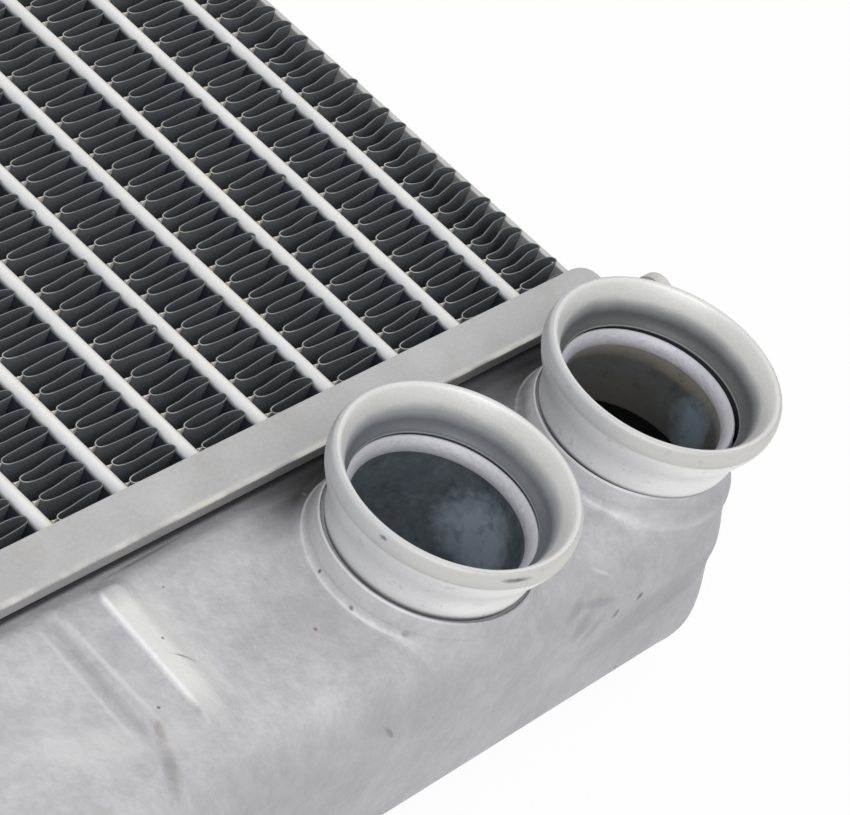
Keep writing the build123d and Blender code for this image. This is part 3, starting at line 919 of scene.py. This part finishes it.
def tank_marks(tree, colour):
    """Cloudy beige and blue-grey patches, painted shade under the header's rim, painted shade in a slanted
    band along the right of the front wall and towards the front, a lighter plateau and painted highlights
    and shade on the beads, painted highlights round the necks' feet and top edge, a lighter ring in the
    bores, and single stains, among them painted shade of dents, folds and a joggle and a painted highlight
    on a crease."""
    place, x, y, z = object_place(tree)
    from_port = ring_distance(tree, x, y)
    for scale, roughness, ramp, tone in tank_clouds.values():
        colour = coat(tree, colour, tone, (noise(tree, scale, 5, place, roughness), *ramp))
    # Painted shade under the header's rim, deepest by the ports, and a painted contact shadow along the
    # rim's edge
    rim = ragged(tree, y, place, 300, 4, 0.0012)
    colour = coats(
        tree, colour,
        ((110, 109, 112), (rim, -0.0602, -0.0558), (x, -0.02, 0.03, 0.3, 0.85)),
        ((30, 30, 31), (from_port, 0.0180, 0.0130), (rim, -0.0630, -0.0588), 0.95),
        ((60, 60, 64), (y, -0.0571, -0.0567, 0.0, 0.9)))
    # Painted shade: a darker slanted band along the right of the front wall
    slope = combine(tree, "ADD", product(tree, x, -0.19), z)
    band = product(tree, band_mask(tree, slope, 8.4, 3.6), (x, 0.042, 0.052))
    colour = coat(tree, colour, (140, 139, 146), (band, 0.0, 0.45), (y, -0.0825, -0.0833), 0.5)
    # The beads: a lighter plateau on the raised bead, painted highlights along the bead edges and painted
    # shade on the sunk bead's floor
    off_y = combine(tree, "SUBTRACT", y, bead_middle_y * 0.001)
    slanted = combine(tree, "SUBTRACT", x, product(tree, off_y, bead_lean))
    colour = coat(tree, colour, (231, 231, 228), (slanted, -0.0082, -0.0076), (slanted, -0.0016, -0.0058),
                  (y, -0.0762, -0.0715), (y, -0.0590, -0.0618, 0.0, 0.85))
    on_beads = product(tree, (y, -0.0742, -0.0722), (y, -0.0590, -0.0600))
    for lean, centre, half_width, full_at, strength, tone in bead_lines.values():
        across = combine(tree, "SUBTRACT", x, product(tree, off_y, lean))
        line = product(tree, band_mask(tree, across, centre, half_width), on_beads)
        colour = coat(tree, colour, tone, (line, 0.0, full_at, 0.0, strength))
    # Painted shade towards the front, over the rounding into the front wall
    colour = coat(tree, colour, (152, 151, 157), (y, -0.0795, -0.0832, 0.0, 0.42))
    # The necks: painted highlights along their feet and top edge, and a lighter ring inside the bores
    foot = product(tree, band_mask(tree, from_port, 11.9, 0.17), (y, -0.0775, -0.0735), (z, 0.0302, 0.0296))
    brow, far_foot_highlight = band_mask(tree, z, 31.7, 0.16), band_mask(tree, z, 28.9, 0.6)
    colour = coats(
        tree, colour,
        ((222, 221, 226), (from_port, 0.01205, 0.0118), (z, 0.0288, 0.0292, 0.0, 0.45),
         (y, -0.0800, -0.0740)),
        ((232, 232, 236), (foot, 0.0, 0.8, 0.0, 0.45)),
        ((246, 246, 250), brow, (y, -0.0815, -0.0765), 0.9),
        ((195, 194, 202), (from_port, 0.0101, 0.0099), (z, 0.0320, 0.0325, 0.0, 0.9)),
        ((222, 221, 227), far_foot_highlight, (y, -0.0785, -0.0805), (x, 0.0480, 0.0500),
         (x, 0.0660, 0.0570, 0.0, 0.3)))
    for stain in tank_stains.values():
        colour = mark(tree, place, colour, *stain)
    return colour


def lining_marks(tree, colour):
    """A painted pool of light, pale and mottled, low on the right of each bore, and browner metal in the far
    one.
    """
    place, x, _, z = object_place(tree)
    far = remap(tree, x, 0.041, 0.042)
    colour = coat(tree, colour, (112, 108, 102), far, (noise(tree, 140, 4, place), 0.35, 0.6, 0.5, 0.95))
    for stain in lining_stains.values():
        colour = mark(tree, place, colour, *stain)
    colour = coat(tree, colour, (186, 180, 166), far, (z, 0.0322, 0.0338, 0.0, 0.8))
    return coat(tree, colour, (58, 66, 74), (noise(tree, 520, 4, place, 0.7), 0.56, 0.68, 0.0, 0.38))


# The necks' upper ends and their linings, turned
ring_high = spigot_z + 0.17
mouth_z = spigot_z - 0.88
neck_corners = [
    (11.58, tank_high + 1.2, 0), (11.42, tank_high + 2.0, 0.3), (11.18, ledge_z - 0.12, 0.2),
    (11.12, ledge_z + 0.12, 0.08), (10.98, ledge_z + 0.12, 0.05), (10.92, ledge_z - 0.28, 0.05),
    (10.1, ledge_z - 0.28, 0.1), (10.1, ring_high - 0.2, 0.1), (9.75, ring_high, 0.1), (9.0, mouth_z, 0.5),
    (9.0, mouth_z - 0.35, 0.05), (9.6, mouth_z - 0.4, 0), (9.9, tank_high + 1.2, 0)]
lining_ends = (tank_high - 9.0, tank_high - 3.4)

tank_look = {"light": (208, 207, 211), "dark": (184, 183, 187), "patch": 150, "grain": 1500,
             "rough": (0.42, 0.62), "bump": 0.00005, "specks": 0.5}
tank_finish = metal_finish("tank_aluminium", **tank_look, paint=tank_marks)
rear_finish = metal_finish("rear_tank_aluminium", **tank_look)
lining_finish = metal_finish("neck_lining", (128, 136, 143), (74, 82, 91), patch=240, grain=1200,
                             rough=(0.4, 0.6), specks=0.4, paint=lining_marks)
# Near-black tones on the tank's inner faces: painted shade inside the closed tank
cavity_shade_finish = metal_finish("tank_inside", (44, 43, 42), (26, 26, 27), patch=120, grain=900,
                             metallic=0.1, rough=(0.6, 0.8), specks=0.2)

# Grid lines closer together at the beads, ports and top
front_x = np.concatenate([np.arange(-tank_half - 1.3, -17.0, 1.1), np.arange(-17.0, -2.0, 0.3),
                          np.arange(-2.0, 11.5, 0.9), np.arange(11.5, 72.5, 0.5),
                          np.arange(72.5, tank_half + 1.4, 0.55)])
front_z = np.concatenate([np.arange(tank_low - 1.3, 21.8, 1.05), np.arange(21.8, shoulder_z, 0.45)])
front_depth = np.arange(front_y - 1.0, front_edge_y + 1.2, 0.56)
points, quads = skin(front_tank_distance, front_x, front_depth, front_z)
middle = points[quads].mean(1)
hidden = (front_pan_distance(middle) < -0.9) & (middle[:, 1] < front_edge_y - 0.4)
surfaces = [(points, quads[~hidden], 0), (points, quads[hidden], 2)]
for centre, scale, low_end in zip(neck_centres, neck_scales, lining_ends):
    lining_corners = [(9.08, mouth_z - 0.3, 0), (9.4, low_end, 0.4), (10.7, low_end, 0),
                      (10.4, mouth_z - 0.4, 0)]
    for number, corners in enumerate((neck_corners, lining_corners)):
        surfaces.append((*turned(rounded_profile(corners) * (scale, 1), centre), number))
add_piece("tank_front", surfaces, ["front_tank"],
          [tank_finish, lining_finish, cavity_shade_finish], crease=50)

points, quads = skin(rear_tank_distance, np.arange(-tank_half - 1.3, tank_half + 1.4, 0.8),
                     np.arange(rear_edge_y - 1, rear_y + 1.3, 0.7),
                     np.arange(tank_low - 1.3, tank_high + 1.4, 0.7))
add_piece("tank_rear", [(points, quads, 0)], ["rear_tank"], [rear_finish], crease=50)


# Port collars
# Turned aluminium rings pressed and brazed on the necks, each with a flared mouth and a rolled
# lip that a hose or pipe flange seals on. Smoother and brighter than the tank, with small nicks.
collar_wall = [
    (10.15, -0.5, 0), (10.45, -0.5, 0.1), (10.8, 0.7, 0.8), (11.05, 2.7, 1.4), (12.3, 4.9, 1.2),
    (12.85, 6.4, 0.6), (12.85, 7.4, 0.45), (12.6, 8.3, 0.35)]
collar_funnel = [
    (11.95, 8.42, 0.35), (11.15, 7.2, 0.7), (10.65, 5.9, 0.6), (10.3, 4.5, 0.5), (9.85, 3.95, 0.15),
    (9.8, 3.7, 0.05), (10.15, 3.6, 0.05)]
collar_steps = 200
collar_chips = {
    "front_chip": ((20.8, -83.3, 39.7), (2.2, 0.55, 0.34), (84, 86, 90), 0.95, (0, 0, -22)),
    "lower_chip": ((27.9, -82.2, 36.6), (0.4, 0.6, 0.3), (120, 116, 112), 0.8),
    "left_chip": ((12.8, -72.7, 39.7), (0.3, 0.5, 0.22), (110, 108, 108), 0.85),
    "far_chip": ((58.4, -59.4, 39.6), (1.8, 0.5, 0.4), (92, 92, 96), 0.85),
    "far_right_chip": ((69.6, -77.4, 40.0), (0.5, 0.5, 0.4), (96, 94, 94), 0.85)}


def wall_marks(tree, colour):
    """A thin dull line where the lip was rolled over, painted shade, bluer, on the left side, painted shade
    at the seat where the ring meets the neck, and small chips."""
    place, _, y, z = object_place(tree)
    wander = ragged(tree, z, place, 120, 3, 0.0003)
    broken = (noise(tree, 150, 4, place), 0.36, 0.6, 0.15, 0.7)
    scuffs = (noise(tree, 700, 4, place, 0.7), 0.6, 0.7, 0.0, 0.5)
    colour = coats(
        tree, colour,
        ((190, 189, 185), (wander, 0.0383, 0.0389), 0.8),
        ((150, 148, 148), band_mask(tree, wander, 38.75, 0.14), broken),
        # Painted shade, bluer, on the left side, then painted shade at the seat
        ((196, 200, 212), (y, -0.080, -0.068, 0.0, 0.4)),
        ((84, 82, 90), (wander, 0.0325, 0.0319, 0.0, 0.85)),
        ((176, 174, 170), scuffs))
    for chip in collar_chips.values():
        colour = mark(tree, place, colour, *chip)
    return colour


def funnel_marks(tree, colour):
    """Painted shade: the funnel darkens from the lip to blue-grey at its throat, with an uneven edge, warmer
    in the far collar; its land is a light line."""
    place, x, _, z = object_place(tree)
    uneven = ragged(tree, z, place, 160, 4, 0.001)
    return coats(
        tree, colour,
        # Painted shade deepening from the lip towards the throat
        ((172, 174, 176), (uneven, 0.0394, 0.0385)),
        ((124, 129, 135), (uneven, 0.0384, 0.0376)),
        ((92, 97, 103), (uneven, 0.0374, 0.0364, 0.0, 0.75)),
        ((84, 83, 81), (x, 0.041, 0.042), (uneven, 0.0392, 0.0376, 0.0, 0.6)),
        ((200, 202, 206), (band_mask(tree, z, 35.85, 0.13), 0.0, 0.8, 0.0, 0.5)))


wall_finish = metal_finish("collar_aluminium", (246, 246, 244), (231, 231, 231), patch=110, grain=3000,
                           metallic=0.2, rough=(0.34, 0.46), bump=0.00001, specks=0.5, paint=wall_marks)
funnel_finish = metal_finish("collar_funnel", (232, 231, 228), (214, 214, 213), patch=110, grain=3000,
                             metallic=0.25, rough=(0.32, 0.44), bump=0.00001, specks=0.4, paint=funnel_marks)
profile = rounded_profile(collar_wall + collar_funnel) + (0, shoulder_z)
for end, centre_x in zip(("near", "far"), port_x):
    ring, ring_quads = turned(profile, (centre_x, port_y), collar_steps)
    funnel = np.arange(len(ring_quads)) // collar_steps >= np.argmax(profile[:, 1])
    surfaces = [(ring, ring_quads[~funnel], 0), (ring, ring_quads[funnel], 1)]
    add_piece(f"collar_{end}", surfaces, [f"{end}_port_collar"],
              [wall_finish, funnel_finish], crease=50)


# Plates inside the front tank
# Plain aluminium plates brazed inside the tank: a divider across it with a hole under the far port,
# and an upright partition between the ports. They are seen only through the necks, and their tones
# are light for the little light that reaches them.
inner_finish = metal_finish("inner_aluminium", (226, 232, 238), (150, 158, 168), patch=260, grain=900,
                            metallic=0.1, rough=(0.5, 0.7), specks=0.3)
for node in ("tank_divider", "tank_partition"):
    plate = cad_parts[node]
    plate.data.materials.clear()
    plate.data.materials.append(inner_finish)


bpy.context.view_layer.update()
